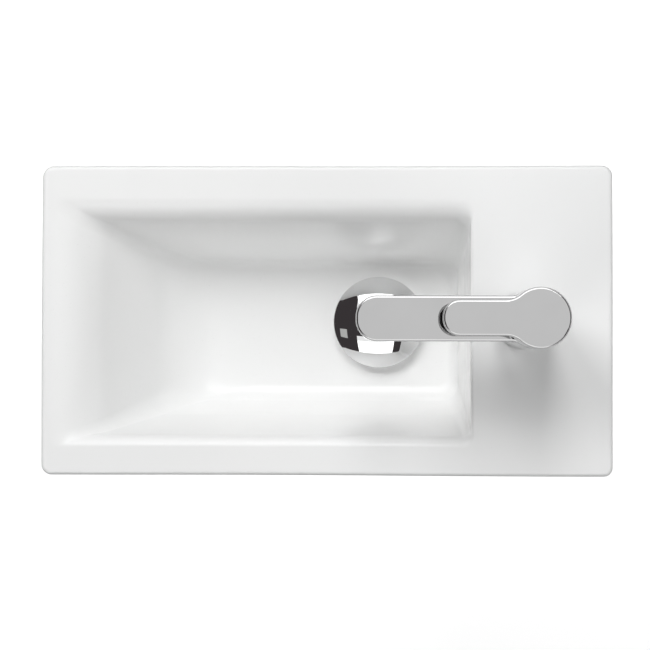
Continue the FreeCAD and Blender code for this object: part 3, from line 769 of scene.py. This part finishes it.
    def drain_section(self) -> list[Pair]:
        """Radii and heights of the drain hole and of the waste's seat, up to its rounded lip."""
        seat, lip = self.floor - self.seat_depth, self.seat_lip
        hole = [(self.drain_radius, self.underside), (self.drain_radius, seat), (self.seat_radius, seat),
                (self.seat_radius, self.floor - lip)]
        edge = [(self.seat_radius + lip * (1 - math.cos(turn)), self.floor - lip + lip * math.sin(turn))
                for turn in np.linspace(self.lip_start, math.pi / 2, self.lip_points)]
        return hole + edge

    def circle(self, outline: np.ndarray, radius: float, height: float) -> np.ndarray:
        """A circle round the drain whose points lie in the directions of an outline's points.

        Args:
            outline: the outline.
            radius: the circle's radius.
            height: the circle's height.

        Returns:
            The circle's points.
        """
        centre = np.array(middle_of("waste_cap"))
        away = outline[:, :2] - centre
        away *= radius / np.linalg.norm(away, axis=1)[:, None]
        return np.c_[centre + away, np.full(len(away), height)]

    def between(self, first: np.ndarray, last: np.ndarray, count: int) -> list[np.ndarray]:
        """Outlines that lie between two others, without those two."""
        return [first + (last - first) * (i / count) for i in range(1, count)]

    def bowl_rings(self) -> list[np.ndarray]:
        """Level outlines of the bowl, close together at its foot and at its rim."""
        paths = {side: self.wall_path(wall) for side, wall in self.walls.items()}
        made = []
        for i in range(self.levels + 1):
            share = (1 - math.cos(math.pi * i / self.levels)) / 2
            height = self.floor + (self.rim - self.floor) * share
            reach = {side: float(np.interp(height, path[:, 1], path[:, 0])) for side, path in paths.items()}
            grow = max(reach[Side.RIGHT] - self.walls[Side.RIGHT].edge, 0.0)
            ease = share ** self.corner_ease
            radii = tuple(low + (high - low) * ease + grow
                          for low, high in zip(self.floor_corners, self.top_corners))
            made.append(self.ring(reach, radii, height))
        return made

    def wall_path(self, wall: Wall) -> np.ndarray:
        """Section of one wall from the floor to the deck, as outward places and heights."""
        crease = (wall.edge - wall.crease_run, self.rim - wall.crease_depth)
        corners = [(wall.edge - wall.run - wall.foot_radius, self.floor), (wall.edge - wall.run, self.floor),
                   crease, (wall.edge, self.rim), (wall.edge + wall.rim_radius, self.rim)]
        radii = [0, wall.foot_radius, wall.crease_radius, wall.rim_radius, 0]
        return rounded_path(corners, radii, self.wall_arc)[1:-1]

    def outer_rings(self, opening: np.ndarray) -> list[np.ndarray]:
        """Deck, outer edge, skirt and foot, from the bowl's opening on.

        Args:
            opening: the outline where the rim's rounding meets the deck.

        Returns:
            The outlines up to the hollow's top edge.
        """
        low, edge, outer = self.foot, self.foot_edge, self.outer_edge
        turns = np.linspace(0, math.pi / 2, self.foot_points)
        section = [(outer * (math.sin(turn) - 1), self.rim - outer * (1 - math.cos(turn)))
                   for turn in np.linspace(0, math.pi / 2, self.edge_points)]
        section += [(0.0, z) for z in np.linspace(self.rim - outer, low + edge, self.skirt_points)[1:]]
        section += [(edge * (math.cos(turn) - 1), low + edge * (1 - math.sin(turn))) for turn in turns[1:]]
        section += [(edge - self.skirt - edge * math.sin(turn), low + edge * (1 - math.cos(turn)))
                    for turn in turns]
        section += [(-self.skirt, z) for z in np.linspace(low + edge, self.deck_low, self.inside_points)[1:]]
        made = [self.outer_ring(inset, height) for inset, height in section]
        return self.between(opening, made[0], self.deck_spans) + made

    def outer_ring(self, inset: float, height: float) -> np.ndarray:
        """Outline at a distance from the outer face."""
        reach = {side: wall.outer + inset for side, wall in self.walls.items()}
        radii = tuple(max(corner + inset, self.least_corner) for corner in self.outer_corners)
        return self.ring(reach, radii, height)

    def shell_rings(self) -> list[np.ndarray]:
        """Outside of the bowl under the deck, from its top down to its flat underside."""
        paths = {}
        for side, wall in self.walls.items():
            foot = wall.foot_radius + self.skirt
            corners = [(wall.shell_top, self.deck_low), (wall.shell_top - wall.shell_run, self.underside),
                       (wall.shell_top - wall.shell_run - foot, self.underside)]
            paths[side] = rounded_path(corners, [0, foot, 0], self.shell_arc)[:-1][::-1]
        made = []
        for i in range(self.shell_levels + 1):
            above = 1 - i / self.shell_levels
            height = self.underside + (self.deck_low - self.underside) * above ** 2
            reach = {side: float(np.interp(height, path[:, 1], path[:, 0])) for side, path in paths.items()}
            pinch = 1.0 - self.shell_pinch * above ** self.pinch_power
            radii = tuple((self.least_corner + corner) * pinch for corner in self.floor_corners)
            made.append(self.ring(reach, radii, height))
        return made

    def warp(self, rings: np.ndarray) -> None:
        """Give the casting its falling floor and the slight unevenness of a fired piece, inside its box.

        Args:
            rings: every outline's points, changed in place.
        """
        x, y, z = rings[..., 0], rings[..., 1], rings[..., 2]
        drain_x, drain_y = middle_of("waste_cap")
        away = np.hypot(x - drain_x, y - drain_y)
        inner = np.zeros(x.shape, bool)
        inner[:len(self.drain_section()) + self.floor_spans + self.levels] = True
        share = np.clip((z - self.floor) / (self.rim - self.floor), 0, 1)
        past = np.clip(away - self.seat_radius - self.seat_lip, 0, None)
        fall = self.floor_fall * past * (1 - share) ** 2
        rings[..., 2] += np.where(inner & (z > self.floor - self.floor_slack), fall, 0.0)
        deep = self.walls[Side.FRONT].outer
        near = {Side.LEFT: np.clip(-x / self.walls[Side.LEFT].outer, 0, 1),
                Side.RIGHT: np.clip(x / self.walls[Side.RIGHT].outer, 0, 1),
                Side.FRONT: np.clip(-y / deep - 0.5, 0, 0.5) * 2,
                Side.REAR: np.clip(y / deep + 0.5, 0, 0.5) * 2}
        for side, (size, pitch, start) in self.sway.items():
            axis = 0 if side.value[0] else 1
            wave = size + size * np.sin(pitch * rings[..., 1 - axis] + start)
            rings[..., axis] -= side.value[axis] * near[side] ** self.sway_power * wave * MM

    def cut_holes(self, casting: bpy.types.Object) -> None:
        """Cut the tap hole through the deck and the two fixing holes through the back."""
        tap = middle_of("cartridge_nut")
        low, high = self.deck_low - self.skirt, self.rim + self.skirt
        cut_away(casting, round_bar(self.tap_hole, (*tap, low), (*tap, high)))
        for x in (-self.fixing_place, self.fixing_place):
            bar = round_bar(self.fixing_hole, (x, -2 * self.skirt, 0), (x, self.skirt, 0), self.fixing_spans)
            cut_away(casting, bar)
        casting.data.set_sharp_from_angle(angle=math.radians(self.sharp_deg))


@dataclass(frozen=True)
class ClickSpring:
    """The waste's coil spring, built at one length, though on the real waste it shortens as the cap is
    pressed.
    """

    wire_radius: float = 0.5 * MM
    turns: int = 8
    turn_steps: int = 48
    wire_steps: int = 12
    sharp_deg: float = 60
    joint: str = "cap_press"

    def build(self, paint: Paintbox) -> bpy.types.Object:
        """Make the coil in its node's place.

        Args:
            paint: the finishes.

        Returns:
            The spring.
        """
        low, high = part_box("waste_spring")
        centre = (low + high) / 2
        steps = self.turns * self.turn_steps
        radius = (high.x - low.x) / 2 - self.wire_radius
        start, rise = low.z + self.wire_radius, high.z - low.z - 2 * self.wire_radius
        rings = [self.wire_ring(centre, radius, math.tau * i / self.turn_steps, start + rise * i / steps)
                 for i in range(steps + 1)]
        around = self.wire_steps
        faces = []
        for first in range(0, steps * around, around):
            for j in range(around):
                beside = (j + 1) % around
                faces.append((first + j, first + beside, first + around + beside, first + around + j))
        faces += [tuple(range(around)), tuple(steps * around + j for j in range(around))]
        spring = mesh_object("click_spring", np.array(rings).reshape(-1, 3), faces, self.sharp_deg)
        dress(spring, paint.steel)
        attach(spring, "basin")
        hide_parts("waste_spring")
        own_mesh(spring)
        LOG.info("%s: %d turns", spring.name, self.turns)
        return spring

    def wire_ring(self, centre: Vector, radius: float, turn: float, height: float) -> list[Point]:
        """One ring of points round the wire.

        Args:
            centre: middle of the coil.
            radius: radius of the coil's centre line.
            turn: angle round the coil.
            height: height of the centre line.

        Returns:
            The ring's points.
        """
        ring = []
        for step in range(self.wire_steps):
            angle = math.tau * step / self.wire_steps
            away = radius + self.wire_radius * math.cos(angle)
            ring.append((centre.x + away * math.cos(turn), centre.y + away * math.sin(turn),
                         height + self.wire_radius * math.sin(angle)))
        return ring


@dataclass
class Studio:
    """Floor, soft lights, dark flags, white surround and the camera over the basin."""

    middle: Point = (0.0, -0.11, 0.0)
    floor_drop: float = 0.85
    floor_size: float = 14.0
    floor_tones: Pair = (0.86, 0.84)
    floor_cloud_scale: float = 3.0
    floor_roughness: Pair = (0.55, 0.70)
    floor_haze_scale: float = 12.0
    seen_glow: Pair = (0.58, 0.92)
    seen_range: Pair = (1.2, 5.0)
    mirrored_glow: Pair = (0.0, 0.50)
    mirrored_range: Pair = (1.2, 3.4)
    lights: tuple[Softbox, ...] = (
        Softbox("key", (0.00, 1.19, 1.69), (0.60, 1.20), 8.0),
        Softbox("key_left", (-0.90, 0.80, 1.80), (0.80, 0.80), 6.6),
        Softbox("rear_left", (-1.20, 1.10, 1.40), (0.90, 1.20), 2.0),
        Softbox("fill_left", (-1.30, -1.30, 1.20), (1.00, 1.20), 2.3),
        Softbox("fill_right", (1.30, -1.30, 1.20), (1.00, 1.20), 1.8),
        Softbox("side_right", (1.60, -0.11, 1.60), (1.00, 1.60), 2.2),
        Softbox("rear_panel", (-0.07, 1.37, 1.34), (1.70, 2.00), 1.0, Reach.MIRRORS),
        Softbox("high_panel", (0.05, 0.75, 1.95), (1.60, 0.60), 1.6, Reach.MIRRORS))
    boards: tuple[Board, ...] = (
        Board("bounce_front", (-0.92, 0.78), (-1.60, -0.84), (2.0, 2.0, 2.0)),
        Board("flag_left", (-3.6, -0.92), (-2.2, 2.2), FLAG_TONE),
        Board("flag_middle", (-0.92, -0.16), (-0.60, 0.42), FLAG_TONE),
        Board("flag_right", (0.78, 3.6), (-2.2, 2.2), FLAG_TONE),
        Board("small_lamp", (-2.10, -1.50), (-0.80, -0.32), (0.50, 0.50, 0.49), 0.02))
    board_height: float = 1.75
    cloth_scale: float = 30.0
    cloth_tone: Colour = grey(0.002)
    ambient: float = 0.01
    ambient_tone: Colour = (1.0, 0.998, 0.995)
    camera_place: Point = (0.004, -0.1317, 1.345)
    camera_turn_deg: Point = (1.448, 1.599, 0.128)
    lens: float = 101.65
    shift: Pair = (0.0686, -0.0314)
    sensor: float = 36.0
    farthest: float = 50.0

    def build(self) -> None:
        """Set up the whole studio."""
        scene = bpy.context.scene
        scene.view_settings.view_transform = "Standard"
        self.world(scene)
        self.floor()
        for box in self.lights:
            self.softbox(box)
        for board in self.boards:
            self.board(board)
        self.camera(scene)
        LOG.info("studio ready")

    def world(self, scene: bpy.types.Scene) -> None:
        """White surround for what is seen and mirrored, and a plain soft light from it."""
        world = bpy.data.worlds.new("surround")
        world.use_nodes = True
        scene.world = world
        nodes, links = world.node_tree.nodes, world.node_tree.links
        nodes.clear()
        output = nodes.new("ShaderNodeOutputWorld")
        seen = nodes.new("ShaderNodeBackground")
        soft = nodes.new("ShaderNodeBackground")
        soft.inputs["Color"].default_value = (*self.ambient_tone, 1)
        soft.inputs["Strength"].default_value = self.ambient
        path = nodes.new("ShaderNodeLightPath")
        most = path.outputs["Is Camera Ray"]
        for name in ("Is Glossy Ray", "Is Transmission Ray"):
            larger = nodes.new("ShaderNodeMath")
            larger.operation = "MAXIMUM"
            links.new(most, larger.inputs[0])
            links.new(path.outputs[name], larger.inputs[1])
            most = larger.outputs[0]
        mix = nodes.new("ShaderNodeMixShader")
        links.new(most, mix.inputs[0])
        links.new(soft.outputs[0], mix.inputs[1])
        links.new(seen.outputs[0], mix.inputs[2])
        links.new(mix.outputs[0], output.inputs["Surface"])
        seen.inputs["Color"].default_value = (1, 1, 1, 1)

    def floor(self) -> None:
        """Pale floor far under the wall-hung basin."""
        edges = (-self.floor_size / 2, self.floor_size / 2)
        floor = level_plane("floor", edges, edges, -self.floor_drop)
        graph = Graph("pale_floor")
        light, dark = self.floor_tones
        haze = graph.spread(graph.noise(self.floor_haze_scale), *self.floor_roughness)
        graph.set(Base_Color=graph.blend(graph.noise(self.floor_cloud_scale), grey(light), grey(dark)),
                  Roughness=haze)
        seen = self.floor_glow(graph, self.seen_glow, self.seen_range)
        mirrored = self.floor_glow(graph, self.mirrored_glow, self.mirrored_range)
        graph.set(Emission_Color=graph.by_ray(seen, mirrored, BLACK), Emission_Strength=1.0)
        dress(floor, graph.material)

    def floor_glow(self, graph: Graph, levels: Pair, distances: Pair) -> bpy.types.NodeSocket:
        """How the floor brightens with the distance from its middle.

        Args:
            graph: the floor's nodes.
            levels: grey level near and far.
            distances: where the change starts and ends.

        Returns:
            The glow's colour output.
        """
        away = graph.node("VectorMath", Vector=graph.place)
        away.operation = "LENGTH"
        share = graph.spread(away.outputs["Value"], 0.0, 1.0, *distances)
        return graph.blend(share, grey(levels[0]), grey(levels[1]))

    def softbox(self, box: Softbox) -> None:
        """Hang one rectangular light that looks at the basin.

        Args:
            box: the light.
        """
        lamp = bpy.data.lights.new(box.name, "AREA")
        lamp.shape = "RECTANGLE"
        lamp.size, lamp.size_y = box.size
        lamp.energy = box.strength * math.pi * box.size[0] * box.size[1]
        light = bpy.data.objects.new(box.name, lamp)
        light.location = box.place
        aim = Vector(self.middle) - light.location
        light.rotation_euler = aim.to_track_quat("-Z", "Y").to_euler()
        light.visible_camera = False
        light.visible_diffuse = box.reach is Reach.SURFACES
        light.visible_glossy = box.reach is Reach.MIRRORS
        bpy.context.scene.collection.objects.link(light)

    def board(self, plan: Board) -> None:
        """Hang one board that only mirrors see.

        Args:
            plan: the board.
        """
        middle = self.middle[1]
        along = (middle + plan.along[0], middle + plan.along[1])
        board = level_plane(plan.name, plan.across, along, self.board_height - plan.drop)
        graph = Graph(plan.name + "_cloth")
        graph.set(Base_Color=graph.blend(graph.noise(self.cloth_scale), BLACK, self.cloth_tone),
                  Specular_IOR_Level=0.0, Emission_Color=(*plan.tone, 1), Emission_Strength=1.0)
        dress(board, graph.material)
        board.visible_camera = False
        board.visible_diffuse = False
        board.visible_shadow = False
        board.visible_transmission = False

    def camera(self, scene: bpy.types.Scene) -> None:
        """Straight down at the basin, with the photograph's framing."""
        data = bpy.data.cameras.new("camera")
        data.sensor_width = self.sensor
        data.lens = self.lens
        data.shift_x, data.shift_y = self.shift
        data.clip_end = self.farthest
        camera = bpy.data.objects.new("camera", data)
        camera.location = self.camera_place
        camera.rotation_euler = [math.radians(turn) for turn in self.camera_turn_deg]
        scene.collection.objects.link(camera)
        scene.camera = camera


def dress_nodes(paint: Paintbox) -> None:
    """Give every node of the frame the finish of its slot.

    Args:
        paint: the finishes.
    """
    finishes = paint.by_slot()
    for part in frame["record"]["subparts"]:
        thing = frame["nodes"][part["node"]]
        dress(thing, finishes[part["material_slot"]])
        LOG.info("%s: %s", thing.name, part["material_slot"])
    dress(frame["nodes"]["lever_plug"], paint.plug)
    dress(frame["nodes"]["waste_cap"], paint.cap)


def main() -> None:
    """Build every sub-assembly in turn, then the studio."""
    logging.basicConfig(level=logging.INFO, format="%(name)s %(message)s")
    paint = Paintbox()
    dress_nodes(paint)
    BasinCasting().build(paint)
    ClickSpring().build(paint)
    Studio().build()


if __name__ == "__main__":
    main()
